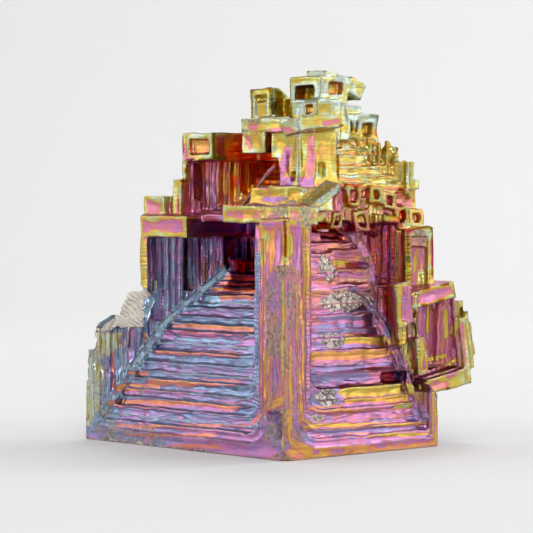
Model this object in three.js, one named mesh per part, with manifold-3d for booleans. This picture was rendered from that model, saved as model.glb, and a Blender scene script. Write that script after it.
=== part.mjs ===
// A bismuth crystal: one skeletal ("hopper") crystal, grown as nested right-angled frames.
//
// Its edges grew faster than its faces, so every side is a staircase that goes down into a pit, and the corner
// posts end in bars like the arms of a T. Millimetres, +Z up. While it is being built, the nearest vertical edge
// is the line x = y = 0: x runs along the right rim and y along the left rim, both away from that edge. At the
// end the crystal is moved so that the origin is the middle of the face it stands on.
import * as THREE from "three";
import { mergeVertices } from "three/addons/utils/BufferGeometryUtils.js";
import Module from "manifold-3d";

const wasm = await Module();
wasm.setup();

// Driving dimensions
const RIGHT_RIM = 33.6; // length of the foot along x
const LEFT_RIM = 48; // length of the foot along y
const RIM = 2.2; // height of the lowest rim
const LOWER_TOP = 36.9; // top of the lower frame, where the middle frame starts
const LOWER_FRONT = 5.7; // how far the lower frame stands back from the left rim
const LOWER_SIDE = 6; // how far it stands back from the right rim
const MIDDLE_TOP = 50.3; // top of the middle frame, where the crown starts
const MIDDLE_FRONT = 9.3;
const MIDDLE_SIDE = 6.8;
const CROWN_TOP = 59.2;
const OUTSIDE = 4; // how far a cut starts outside the crystal
const RIB_TOP = 29.4; // top of the rounded rib on the near edge
const UNEVEN = 0.32; // how much the treads differ, as a share of a tread
const ARC = Math.PI / 2;

// Closed geometry to solid. The faces are turned round where the placing mirrors them.
function solid(geometry, matrix = new THREE.Matrix4()) {
  geometry.deleteAttribute("normal");
  geometry.deleteAttribute("uv");
  const merged = mergeVertices(geometry.applyMatrix4(matrix), 1e-5);
  const triVerts = new Uint32Array(merged.index.array);
  if (matrix.determinant() < 0) {
    for (let i = 0; i < triVerts.length; i += 3) {
      [triVerts[i + 1], triVerts[i + 2]] = [triVerts[i + 2], triVerts[i + 1]];
    }
  }
  return new wasm.Manifold(
    new wasm.Mesh({
      numProp: 3,
      vertProperties: merged.attributes.position.array,
      triVerts,
    }),
  );
}

// A block between two corners.
function block([x0, x1], [y0, y1], [z0, z1], turn = null) {
  const middle = new THREE.Vector3((x0 + x1) / 2, (y0 + y1) / 2, (z0 + z1) / 2);
  const place = new THREE.Matrix4().makeTranslation(middle);
  if (turn) place.multiply(new THREE.Matrix4().makeRotationFromEuler(turn));
  return solid(new THREE.BoxGeometry(x1 - x0, y1 - y0, z1 - z0), place);
}

const degrees = (a) => THREE.MathUtils.degToRad(a);
const turned = (x, y, z) =>
  new THREE.Euler(degrees(x), degrees(y), degrees(z));
const joined = (solids) => solids.reduce((all, one) => all.add(one));

// The four upright sides. Each maps (along the side, up, inwards) to x, y, z.
function side(name, plane) {
  const up = new THREE.Vector3(0, 0, 1);
  const ways = {
    left: [new THREE.Vector3(0, 1, 0), new THREE.Vector3(1, 0, 0)],
    right: [new THREE.Vector3(1, 0, 0), new THREE.Vector3(0, 1, 0)],
    backLeft: [new THREE.Vector3(1, 0, 0), new THREE.Vector3(0, -1, 0)],
    backRight: [new THREE.Vector3(0, 1, 0), new THREE.Vector3(-1, 0, 0)],
  };
  const [along, inwards] = ways[name];
  const place = new THREE.Matrix4().makeBasis(along, up, inwards);
  const start = inwards.clone().multiplyScalar(plane * (inwards.x + inwards.y));
  return place.setPosition(start);
}

// Reads a row of numbers part of the way down a table, t from 0 to 1.
function between(table, t) {
  const place = THREE.MathUtils.clamp(t, 0, 1) * (table.length - 1);
  const row = Math.min(Math.floor(place), table.length - 2);
  return table[row].map((v, i) =>
    THREE.MathUtils.lerp(v, table[row + 1][i], place - row),
  );
}

// One frame of a pit: an opening with square corners, or with its foot next to the near edge rounded off.
function opening(near, far, floor, roof, radius) {
  const shape = new THREE.Shape();
  shape.moveTo(far, floor);
  shape.lineTo(far, roof);
  shape.lineTo(near, roof);
  shape.lineTo(near, floor + radius);
  if (radius > 0) {
    shape.absarc(near + radius, floor + radius, radius, 2 * ARC, 3 * ARC);
  }
  shape.closePath();
  return shape;
}

// A hopper pit: frame after frame, each smaller and deeper than the one before. Rows of the table are
// [depth, floor, near end, far end], from the outer frame to the bottom of the pit. No two treads are alike.
function pit(place, table, frames, roof, radius = 0) {
  const cuts = [];
  for (let k = 0; k < frames; k++) {
    const uneven = UNEVEN * Math.sin(2.4 * k + table.length + frames);
    const [, floor, near, far] = between(table, (k + uneven / 2) / frames);
    const [depth] = between(table, (k + 1 + uneven) / frames);
    const corner = radius * Math.max(0, 1 - (1.7 * k) / frames);
    const outline = opening(near, far, floor, roof, corner > 1 ? corner : 0);
    const cut = new THREE.ExtrudeGeometry(outline, {
      depth: depth + OUTSIDE,
      bevelEnabled: false,
      curveSegments: 4,
    });
    cuts.push(solid(cut.translate(0, 0, -OUTSIDE), place));
  }
  return joined(cuts);
}

// A piece to break off: everything in front of a sloping face through a point
function chip(point, outwards, size) {
  const up = new THREE.Vector3(0, 0, 1);
  const way = new THREE.Vector3(...outwards).normalize();
  const turn = new THREE.Quaternion().setFromUnitVectors(up, way);
  const place = new THREE.Matrix4()
    .makeTranslation(...point)
    .multiply(new THREE.Matrix4().makeRotationFromQuaternion(turn))
    .multiply(new THREE.Matrix4().makeTranslation(0, 0, size / 2));
  return solid(new THREE.BoxGeometry(size, size, size), place);
}

// The rounded head of the outermost frame, on one side of the near edge
function ribHead(name, width) {
  const shape = new THREE.Shape();
  shape.moveTo(0, 20);
  shape.lineTo(width, 20);
  shape.lineTo(width, RIB_TOP - width + 0.8);
  shape.absarc(0.8, RIB_TOP - width + 0.8, width - 0.8, 0, ARC);
  shape.lineTo(0, RIB_TOP);
  shape.closePath();
  const head = new THREE.ExtrudeGeometry(shape, {
    depth: 1.9,
    bevelEnabled: false,
    curveSegments: 5,
  });
  return solid(head, side(name, 0));
}

// The foot and the broken posts at its left end
function foot() {
  return joined([
    block([0, RIGHT_RIM], [0, LEFT_RIM], [0, 9.8]),
    block([0, 31.4], [0, LEFT_RIM - 0.5], [9, 14.8]),
    block([0.3, 31], [0, 46.7], [14, 16.4]),
    block([0.6, 31], [0, 46.2], [16, 20.4]),
    block([1.4, 9], [34, 44.3], [16, 24.2]),
    block([1.4, 31.5], [2, 42.2], [17, 24.4]),
    block([0, 10], [0, 10], [9, 21]),
    ribHead("left", 4.3),
    ribHead("right", 3.4),
  ]);
}

// The lower frame, which the left and right pits go down into
function lowerFrame() {
  return joined([
    block([LOWER_FRONT, 31], [LOWER_SIDE, 41], [17, LOWER_TOP]),
    block([20, 38.3], [LOWER_SIDE, 30], [25, 34.8]),
    block([28, 39.2], [LOWER_SIDE + 3, 24], [33, 38]),
    block([24, 35.5], [9, 34], [20, 26]),
    block([1.5, 12], [1.5, 12], [20, 36.5]),
  ]);
}

// The middle frame, with the steps up to its left corner and the shoulders down from its right one
function middleFrame() {
  const floor = LOWER_TOP - 1;
  return joined([
    block([MIDDLE_FRONT, 29.4], [MIDDLE_SIDE, 34.4], [floor, MIDDLE_TOP]),
    block([MIDDLE_FRONT, 31.2], [MIDDLE_SIDE + 0.6, 33.2], [floor, 49.2]),
    block([MIDDLE_FRONT, 34.2], [MIDDLE_SIDE + 1.4, 32.4], [floor, 48]),
    block([MIDDLE_FRONT, 36.4], [MIDDLE_SIDE + 1, 31.6], [floor, 45.4]),
    block([MIDDLE_FRONT, 38.2], [MIDDLE_SIDE + 1.4, 30.6], [floor, 42.6]),
    block([6.2, 12], [35.2, 40.5], [floor, 40]),
    block([7.5, 14], [32.6, 34.7], [floor, 42.8]),
    block([8.6, 15], [31.3, 33.6], [floor, 45.9]),
    block([12, 20], [33, 36.6], [floor, 40.8]),
  ]);
}

// The pits of the four sides, each as deep as the walls between them allow
function pits() {
  const left = side("left", 0);
  const right = side("right", 0);
  const lowLeft = [
    [0, 2.2, 4.2, 45.8],
    [1.6, 5.6, 7.4, 43.9],
    [3.4, 9.6, 10.4, 41.6],
    [5.2, 13.6, 12.4, 39.7],
    [7.4, 18.2, 14.6, 37.6],
    [9.6, 21.6, 16.8, 35.2],
    [12, 24.6, 19, 32.6],
    [14.6, 27.6, 21.4, 29.8],
    [21.4, 30.2, 26.2, 29.2],
  ];
  const lowRight = [
    [0, 1.6, 3, 32.2],
    [1.5, 4.6, 5.8, 31.6],
    [3, 8.4, 8.4, 30.9],
    [4.4, 13.2, 9.8, 29.4],
    [6, 17.6, 11.2, 28],
    [8, 22, 12.8, 26.8],
    [8.9, 27.6, 13.6, 27.2],
    [10, 31.6, 14.6, 26.4],
    [12, 36.4, 17.2, 23.7],
  ];
  const lowRightWing = [
    [LOWER_SIDE, 24.8, 20, 31.8],
    [10, 27.6, 20, 26.8],
  ];
  const midLeft = [
    [MIDDLE_FRONT, 37.1, 11.4, 32.6],
    [12, 37.9, 12.6, 29.6],
    [14.8, 39.2, 16, 27.2],
    [17.4, 41.2, 18.6, 27],
    [20, 43.2, 21.2, 26.9],
    [22.6, 45.2, 23.6, 26.8],
  ];
  const midRight = [
    [MIDDLE_SIDE, 39.5, 18.4, 36],
    [8.6, 41.6, 19.6, 34.6],
    [10, 44.6, 21, 33.4],
    [11.6, 47, 22.2, 32.4],
    [13.2, 49.8, 23.2, 31.6],
  ];
  const farLeft = [
    [0, RIM, 4, 28.5],
    [3, 6, 6.4, 27.6],
    [6, 11, 8.6, 26.2],
    [10, 18, 11.6, 24.4],
    [14, 25.5, 14.5, 22.5],
  ];
  const farRight = [
    [4.7, RIM, 5, 43.5],
    [6.6, 6, 7.6, 41],
    [9, 12, 10.6, 37.6],
    [11.2, 19, 13.8, 34.4],
    [13.2, 25, 17, 31],
  ];
  const upFarLeft = [
    [0, 38.4, 12.4, 32.4],
    [2.6, 41, 15, 30],
    [5, 44, 17.5, 27.5],
  ];
  const upFarRight = [
    [0, 38, 17, 29.8],
    [3, 40.5, 19, 29.4],
    [6, 43.6, 21, 28.4],
  ];
  return {
    lower: [
      pit(left, lowLeft, 22, 33.3, 4.2),
      pit(right, lowRight, 20, 40, 4),
      pit(right, lowRightWing, 6, 35.6),
      pit(side("backLeft", LEFT_RIM), farLeft, 12, 32.6),
      pit(side("backRight", 38.3), farRight, 12, 31.8),
    ],
    middle: [
      pit(left, midLeft, 12, 45.7),
      pit(right, midRight, 10, 52),
      pit(side("backLeft", 34.4), upFarLeft, 6, 47.4),
      pit(side("backRight", 38.2), upFarRight, 6, 47.6),
    ],
  };
}

// What else is open: the space between a frame's top bar and the near edge, and slots between posts
function gaps() {
  return {
    lower: [
      block([-OUTSIDE, 5.7], [7.4, 60], [25, 60]),
      block([-OUTSIDE, 19], [13, 29.2], [30, LOWER_TOP + 0.2]),
      block([6.7, 8.1], [37, 40.3], [19.6, 33.3]),
      block([10.1, 11.5], [33, 37.8], [24.6, 33.3]),
      block([28.8, 32.4], [-OUTSIDE, 4], [8.9, 11.4]),
    ],
    middle: [
      block([0, 19], [13, 26.8], [44, 60]),
      block([12.9, 19.2], [0, 8.2], [41.4, 60]),
      block([19, 31], [0, 9.6], [47, 60]),
      block([15.4, 41], [0, 9.3], [30, 41.1]),
      block([8, 10.3], [28.2, 32.6], [46.8, 49.2]),
      block([10.2, 11.1], [30, 33.6], [39.2, 45.7]),
    ],
  };
}

// The break at the left end, where bare metal shows
function breaks() {
  return [
    chip([4.64, 41.59, 21.6], [-0.716, -0.644, 0.271], 7.2),
    chip([3.6, 42.75, 21.6], [-0.78, 0.42, 0.46], 7),
    chip([1.95, 42, 20.9], [-0.93, -0.06, 0.37], 8.5),
    chip([2.6, 40.6, 22], [-0.78, -0.24, 0.58], 6.4),
    chip([1.6, 46.6, 15.6], [-0.5, 0.8, 0.4], 3),
    chip([33.2, 0.8, 9.4], [0.6, -0.5, 0.6], 3),
    chip([0.3, 0.3, 0.4], [-0.6, -0.6, -0.4], 2),
  ];
}

// Bars and posts that stand out from the near edge: two T heads, one above the other, and the wing
function nearEdge() {
  const firstHead = [
    block([2.4, 6.6], [2, 16.7], [35.7, 38.5]),
    block([2, 9.4], [2.4, 6.6], [35.4, 38.3]),
    block([4.6, 14.4], [2.4, 5.4], [38.3, 39.8], turned(12, -34, 0)),
    block([5, 15], [5, 13.5], [37.6, 41.4]),
  ];
  const secondHead = [
    block([MIDDLE_FRONT, 12.9], [MIDDLE_SIDE, 11.4], [38, 50.4]),
    block([8.6, 12.4], [6.2, 19.3], [49.9, 52.1], turned(1.5, 0, 0)),
    block([8.7, 12.2], [13.9, 19.2], [46.7, 51.6]),
    block([8.4, 18.3], [5.9, 9.6], [50, 52.1], turned(-14, -5, 0)),
  ];
  return [...firstHead, ...secondHead];
}

// The crown: the highest and youngest frames, small blocks with open faces
function crown() {
  const mass = joined([
    block([18, 31], [12.4, 26], [MIDDLE_TOP - 1.5, 52.9]),
    block([16.4, 21.8], [9.9, 16], [MIDDLE_TOP - 1.5, 55.4]),
    block([21, 25], [11.4, 17], [MIDDLE_TOP - 1.5, 55.2]),
    block([24.2, 33], [12.4, 22], [MIDDLE_TOP - 2.5, 53.3]),
    block([25.4, 29.6], [13.2, 19], [52, 54.6]),
    block([19, 25.4], [12, 19.3], [54, CROWN_TOP]),
    block([23, 28.2], [15, 19.4], [58.9, 59.9], turned(0, 11, 0)),
    block([25.2, 28.9], [12, 15.4], [56, 58.8], turned(0, 24, 0)),
    block([23, 26.2], [13, 15.2], [55.6, 57.6]),
    block([15.8, 19], [9.4, 13], [52.4, 54.9]),
    block([19, 23], [23.4, 28.6], [50, 57.6]),
    block([22, 26], [18.6, 25], [50, 55.8]),
  ]);
  const hollows = [
    block([18, 21.6], [13.6, 18], [53.8, 57.6]),
    block([18, 20.4], [16, 18], [52.4, 54]),
    block([21, 24.2], [11, 13.4], [56.1, 58.2]),
    block([18, 19.8], [24.6, 27.4], [53, 56.4]),
    block([14, 16.6], [10.6, 12.2], [53, 54.4]),
    block([25.6, 28.2], [11, 13.6], [50.4, 52.2]),
    block([29.4, 31.8], [11, 13.8], [49.4, 51.8]),
    chip([21, 26, 57.6], [0.55, 0, 0.8], 8),
  ];
  return mass.subtract(joined(hollows));
}

// The small crystals that crowd the ledge between the two right pits, each with a square pit of its own.
// Each row is [x, y, z of the open face's middle, size].
function ledgeCrystals() {
  const cubes = [
    [19.4, 8.6, 36.1, 2.6],
    [25, 8.4, 36, 3.4],
    [27.6, 7.8, 40, 2.9],
    [22.8, 8, 40.2, 3.5],
    [25.4, 9, 38.2, 2.6],
    [28.2, 8.6, 37.6, 2.7],
    [30.7, 7.7, 39.4, 2.5],
    [33.4, 7.5, 36.9, 3.3],
    [36.8, 7.7, 36.5, 3.1],
    [22.3, 9.2, 37.3, 2.5],
    [30.7, 8.4, 36.6, 2.8],
  ];
  return cubes.map(([x, y, z, size], i) => {
    const half = size / 2;
    const wall = size * (0.2 + 0.03 * (i % 3));
    const back = y + size * (1.1 + 0.3 * (i % 2));
    const cube = block([x - half, x + half], [y, back], [z - half, z + half]);
    const hole = block(
      [x - half + wall, x + half - wall],
      [y - 1, y + size * 0.55],
      [z - half + wall, z + half - wall],
    );
    return cube.subtract(hole);
  });
}

// The end post of the lower right pit, hollow like a picture frame
function rightPost() {
  const post = block([31.6, 38.3], [5.4, 12], [23, 35]);
  const hollows = [
    block([33.2, 36.9], [4, 6.4], [20, 33.4]),
    block([34, 36.1], [4, 7.8], [20, 32.2]),
  ];
  return post.subtract(joined(hollows));
}

// A second crystal, grown on at the lower right and turned a little, with its own pit. Its frame is open at
// the lower left, where a tall post and a short one stand.
function sideCrystal() {
  const lean = new THREE.Matrix4()
    .makeTranslation(36, 0, 17)
    .multiply(new THREE.Matrix4().makeRotationY(degrees(-9)));
  const table = [
    [0, -6.2, -8, 6.2],
    [1.6, -5, -6, 5],
    [3.4, -3.6, -4, 3.4],
    [5.6, -2.2, -3, 1.6],
  ];
  const body = joined([
    block([-4.9, 6], [2.8, 12], [-8.8, 8.4]),
    block([-4.9, 7.6], [2.9, 12], [-8.9, 5]),
    block([-4.9, 8.7], [3, 12], [-6.6, 3]),
    block([-4.9, 9.3], [3.1, 11], [-4.5, 0.9]),
  ]);
  const posts = joined([
    block([-8.5, -4.7], [2.4, 4.4], [3.4, 10.4]),
    block([-8.5, -6.6], [2.6, 4.6], [0.4, 4]),
    block([-5.6, -3.4], [1.8, 4.2], [-4.9, 1.2]),
    block([-6.4, -4.6], [4, 9], [-6, 9]),
  ]);
  const cut = pit(side("right", 2.8), table, 6, 5.6, 2.4);
  return body.subtract(cut).add(posts).transform(lean.elements);
}

function crystal() {
  const { lower, middle } = pits();
  const open = gaps();
  const base = joined([foot(), lowerFrame()])
    .subtract(joined([...lower, ...open.lower]));
  const upper = middleFrame().subtract(joined([...middle, ...open.middle]));
  return joined([
    base,
    upper,
    crown(),
    sideCrystal(),
    rightPost(),
    ...nearEdge(),
    ...ledgeCrystals(),
    block([1.5, 9], [39.1, 44.3], [18.4, 24.2]),
  ]).subtract(joined(breaks()));
}

// The finished solid as a geometry that stands on z = 0, over the origin.
function geometryOf(body) {
  const { vertProperties, triVerts } = body.getMesh();
  const geometry = new THREE.BufferGeometry();
  geometry.setAttribute("position", new THREE.BufferAttribute(vertProperties, 3));
  geometry.setIndex(new THREE.BufferAttribute(triVerts, 1));
  geometry.computeBoundingBox();
  const middle = geometry.boundingBox.getCenter(new THREE.Vector3());
  geometry.translate(-middle.x, -middle.y, -geometry.boundingBox.min.z);
  geometry.computeVertexNormals();
  return geometry;
}

const oxide = new THREE.MeshStandardMaterial({
  color: 0xb78aa0,
  roughness: 0.3,
  metalness: 1,
  flatShading: true,
});
const grown = new THREE.Mesh(geometryOf(crystal()), oxide);
grown.name = "bismuth_crystal";

const part = new THREE.Group();
part.add(grown);
export default part;
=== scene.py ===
"""An iridescent bismuth crystal: nested right-angled frames that go down into terraced pits.

Shapes are made in millimetres, in the frame the crystal was built in: the near vertical edge is the line
x = y = 0, x runs along the right rim and y along the left rim. They are placed in metres at the end.
"""

import math
from typing import NamedTuple

import bmesh
import bpy
import numpy as np
from mathutils import Matrix, Vector, noise
from mathutils.bvhtree import BVHTree


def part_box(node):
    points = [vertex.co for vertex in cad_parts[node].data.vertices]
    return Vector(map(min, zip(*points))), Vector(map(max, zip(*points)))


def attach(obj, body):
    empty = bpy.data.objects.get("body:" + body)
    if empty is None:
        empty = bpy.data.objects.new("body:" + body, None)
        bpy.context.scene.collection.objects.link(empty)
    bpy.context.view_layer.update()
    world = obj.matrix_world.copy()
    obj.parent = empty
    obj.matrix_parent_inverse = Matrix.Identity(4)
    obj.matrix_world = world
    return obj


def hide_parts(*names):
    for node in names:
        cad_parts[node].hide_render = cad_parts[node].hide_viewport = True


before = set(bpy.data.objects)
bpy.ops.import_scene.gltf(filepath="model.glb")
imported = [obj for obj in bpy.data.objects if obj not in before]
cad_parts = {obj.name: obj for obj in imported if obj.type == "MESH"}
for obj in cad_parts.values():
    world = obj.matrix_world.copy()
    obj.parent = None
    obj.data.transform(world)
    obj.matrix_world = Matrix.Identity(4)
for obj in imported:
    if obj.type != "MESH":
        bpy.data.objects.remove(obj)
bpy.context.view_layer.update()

MM = 0.001
NEAR_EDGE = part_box("bismuth_crystal")[0]  # the foot of the near vertical edge
SQUARE = 0.21  # size of the finished surface's squares
COARSE_SQUARE = 0.65  # and of the coarse one on which openness is measured
SAME_POINT = 0.002  # points nearer than this are merged
SOFT_EDGE = math.radians(30)  # faces that meet at less than this are one facet
SHARP_EDGE = math.radians(50)  # and at more than this the finished surface isn't shaded smooth
FAR = 60.0  # further than any point is from an edge
RAYS = 40  # directions looked in to find how open a place is
SIGHT = 18  # how far each of them reaches
CUTS = [0.0, 12.4, 22.6, 32.5, 41.3, 62.0]  # heights at which the surface is cut into slabs
SLABS = ["foot", "low", "waist", "shoulder", "crown"]

# Oxide film, from thin to thick: what its thickness looks like on bismuth
FILM_COLOURS = [
    (0.00, (178, 194, 186)),
    (0.07, (190, 196, 164)),
    (0.14, (188, 182, 100)),
    (0.21, (198, 172, 72)),
    (0.28, (207, 160, 78)),
    (0.36, (208, 140, 92)),
    (0.44, (200, 126, 116)),
    (0.52, (200, 122, 142)),
    (0.60, (192, 122, 166)),
    (0.68, (166, 126, 178)),
    (0.76, (142, 130, 172)),
    (0.86, (124, 144, 180)),
    (1.00, (150, 180, 200)),
]
# Painted bounced light: the same films deep in a pit, coloured as where light has met them several times
BOUNCED_LIGHT_COLOURS = [
    (0.00, (200, 215, 190)),
    (0.14, (176, 158, 40)),
    (0.24, (220, 156, 26)),
    (0.32, (242, 128, 22)),
    (0.40, (236, 84, 22)),
    (0.50, (226, 96, 124)),
    (0.60, (190, 76, 150)),
    (0.72, (120, 92, 176)),
    (0.86, (92, 120, 176)),
    (1.00, (120, 170, 190)),
]
# Painted shade in the grooves of the growth lines and in creases, also the dark outline round each stroke
GROOVE_SHADE_AND_OUTLINE = (62, 40, 56)
# Painted highlight on the ridges beside the grooves of the growth lines
RIDGE_HIGHLIGHT = (222, 216, 226)
PATINA = (150, 140, 132)
RUBBED = (148, 140, 124)
BARE_METAL = (250, 244, 234)
BARE_METAL_SHADE = (176, 166, 156)
WRINKLE = (52, 44, 46)
TORN_METAL = (238, 230, 216)
TORN_METAL_SHADE = (150, 134, 124)
WORN_METAL = (200, 188, 168)
WORN_METAL_SHADE = (128, 118, 104)
FLOOR_GREY = 0.74

BREAK = (-1, 35, 17.6), (9, 50, 26)  # the box that holds the broken faces
BREAK_END = 31.3  # how far left they start at their top
BREAK_TOP = 24.6  # below this height they start further left
STROKE_DEPTH = 12.8  # strokes, cavities and patches are on faces no further in than this
LIP_BORDER = 0.65  # the share of the lip's film that is all of one thickness


def linear(colour):
    """Screen colour, 0 to 255, as the light a shader works in."""
    parts = [c / 255 for c in colour]
    parts = [c / 12.92 if c <= 0.04045 else ((c + 0.055) / 1.055) ** 2.4 for c in parts]
    return (*parts, 1.0)


def link(obj):
    bpy.context.scene.collection.objects.link(obj)
    return obj


def mesh_object(name, bm):
    """Turns a bmesh into an object."""
    mesh = bpy.data.meshes.new(name)
    bm.to_mesh(mesh)
    bm.free()
    return link(bpy.data.objects.new(name, mesh))


def block(bm, low, high):
    """Adds a block between two corners."""
    low, high = Vector(low), Vector(high)
    place = Matrix.LocRotScale((low + high) / 2, None, high - low)
    bmesh.ops.create_cube(bm, size=1, matrix=place)


def crystal_copy():
    """The CAD crystal in millimetres, with its loose triangles merged."""
    bm = bmesh.new()
    bm.from_mesh(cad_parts["bismuth_crystal"].data)
    bmesh.ops.translate(bm, verts=bm.verts, vec=-NEAR_EDGE)
    bmesh.ops.scale(bm, verts=bm.verts, vec=(1 / MM,) * 3)
    bmesh.ops.remove_doubles(bm, verts=bm.verts, dist=SAME_POINT)
    bmesh.ops.dissolve_degenerate(bm, edges=bm.edges, dist=SAME_POINT)
    bmesh.ops.recalc_face_normals(bm, faces=bm.faces)
    return bm


def skinned(obj, square):
    """A skin of even squares over the object's mesh, as one closed surface."""
    skin = obj.modifiers.new("skin", "REMESH")
    skin.mode = "VOXEL"
    skin.voxel_size = square
    graph = bpy.context.evaluated_depsgraph_get()
    mesh = bpy.data.meshes.new_from_object(obj.evaluated_get(graph))
    obj.modifiers.clear()
    return mesh


def numbered_facets(bm):
    """Gives every face the number of the facet it belongs to, and returns how many facets there are."""
    layer = bm.faces.layers.int.new("facet")
    for face in bm.faces:
        face[layer] = -1
    count = 0
    for seed in bm.faces:
        if seed[layer] >= 0:
            continue
        seed[layer] = count
        front = [seed]
        while front:
            for edge in front.pop().edges:
                if abs(edge.calc_face_angle_signed(math.pi)) >= SOFT_EDGE:
                    continue
                for face in edge.link_faces:
                    if face[layer] < 0:
                        face[layer] = count
                        front.append(face)
        count += 1
    return layer, count


def facet_borders(bm, layer, count):
    """Each facet's lips, where an edge stands out, and its creases, where one goes in, as pairs of points."""
    lips = [[] for _ in range(count)]
    creases = [[] for _ in range(count)]
    for edge in bm.edges:
        angle = edge.calc_face_angle_signed(0)
        if abs(angle) < SOFT_EDGE:
            continue
        ends = [tuple(v.co) for v in edge.verts]
        for face in edge.link_faces:
            (lips if angle > 0 else creases)[face[layer]].append(ends)
    return lips, creases


def distance_to(points, edges):
    """How far each point is from the nearest of a set of straight edges."""
    nearest = np.full(len(points), FAR)
    for start, end in np.array(edges).reshape(-1, 2, 3):
        along = end - start
        share = np.clip((points - start) @ along / max(along @ along, 1e-9), 0, 1)
        gap = points - start - share[:, None] * along
        nearest = np.minimum(nearest, np.sqrt((gap * gap).sum(1)))
    return nearest


def smooth_step(low, high, value):
    """0 below low, 1 above high, smooth between them."""
    t = np.clip((value - low) / (high - low), 0, 1)
    return t * t * (3 - 2 * t)


def cloudy(points, size, stretch=(1, 1, 1), octaves=1, seed=0.0):
    """Soft noise from -1 to 1, with clouds of about this size."""
    scaled = (points / size / np.array(stretch) + seed).tolist()
    if octaves == 1:
        return np.array([noise.noise(p) for p in scaled])
    return np.array([noise.fractal(p, 1.0, 2.0, octaves) for p in scaled])


class Surface:
    """The fine surface, and what is known at each of its points."""

    def __init__(self, mesh, source):
        place = np.empty(len(mesh.vertices) * 3, np.float32)
        mesh.vertices.foreach_get("co", place)
        self.place = place.reshape(-1, 3).astype(float)
        layer, count = numbered_facets(source)
        source.faces.ensure_lookup_table()
        tree = BVHTree.FromBMesh(source)
        found = [tree.find_nearest(p) for p in self.place.tolist()]
        self.facing = np.array([hit[1] for hit in found])
        facet = np.array([source.faces[hit[2]][layer] for hit in found])
        order = np.argsort(facet, kind="stable")
        members = np.split(order, np.searchsorted(facet[order], np.arange(1, count)))
        lips, creases = facet_borders(source, layer, count)
        self.lip = self.distance_within(members, lips)
        self.crease = self.distance_within(members, creases)
        self.chance = np.random.default_rng(83).random((count, 4))[facet]
        self.sway = [cloudy(self.place, 2.4, octaves=2, seed=seed) for seed in (0.6, 4.9, 7.2)]
        self.looks = self.directions()

    def distance_within(self, members, borders):
        """How far each point is from the nearest of its own facet's borders."""
        nearest = np.full(len(self.place), FAR)
        for points, edges in zip(members, borders):
            if edges and len(points):
                nearest[points] = distance_to(self.place[points], edges)
        return nearest

    def directions(self):
        """Which points face left (-x) or right (-y) in the photograph, up, or away from the camera."""
        x, y, z = self.facing.T
        return {
            "left": x < -0.5,
            "right": y < -0.5,
            "up": z > 0.5,
            "front": (x < -0.5) | (y < -0.5),
            "back left": y > 0.5,
            "back right": x > 0.5,
            "back": (x > 0.5) | (y > 0.5),
            "slanted": np.abs(self.facing).max(1) < 0.9,
            "any": np.full(len(x), True),
        }

    def within(self, low, high, blend=0.0, ragged=0.0):
        """1 inside a box and 0 outside it, with a soft or a ragged border."""
        inside = np.ones(len(self.place))
        for axis in range(3):
            value = self.place[:, axis] + ragged * self.sway[axis]
            if blend:
                inside *= smooth_step(low[axis] - blend, low[axis] + blend, value)
                inside *= 1 - smooth_step(high[axis] - blend, high[axis] + blend, value)
            else:
                inside *= (value >= low[axis]) & (value <= high[axis])
        return inside

    def points_in(self, low, high, way, ragged=0.0):
        """Which points lie in a box and face one way."""
        return (self.within(low, high, ragged=ragged) > 0) & self.looks[way]

    def flat(self, way):
        """Each point's place along the side that faces this way, its height, and how far in it lies."""
        x, y, z = self.place.T
        return (y, z, x) if way in ("left", "back right") else (x, z, y)


class Zone(NamedTuple):
    """A growth zone: the faces in a box that look one way, and their film."""

    name: str
    low: tuple
    high: tuple
    way: str
    at_lip: float
    inside: float
    width: float  # of the lip's film
    spread: float  # how much its facets differ
    ragged: float = 0.0  # how ragged its border is where it isn't an edge


class Stroke(NamedTuple):
    """A lens, stripe or patch of other film on the faces that look one way."""

    way: str
    start: tuple  # place along the side, height
    end: tuple
    half: float  # half its width
    film: float
    proud: float = 0.0  # how far it stands out
    thicker: float = 0.0  # how much its film thickens from its middle to its lower edge
    deepest: float = STROKE_DEPTH  # how far in it reaches


class LitPit(NamedTuple):
    """A pit whose walls light each other up."""

    low: tuple
    high: tuple
    rest: float  # the share of its shade that is left
    often: float  # how much of its light has met the film several times
    least: float = 0.0  # how dark it is at least


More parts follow.
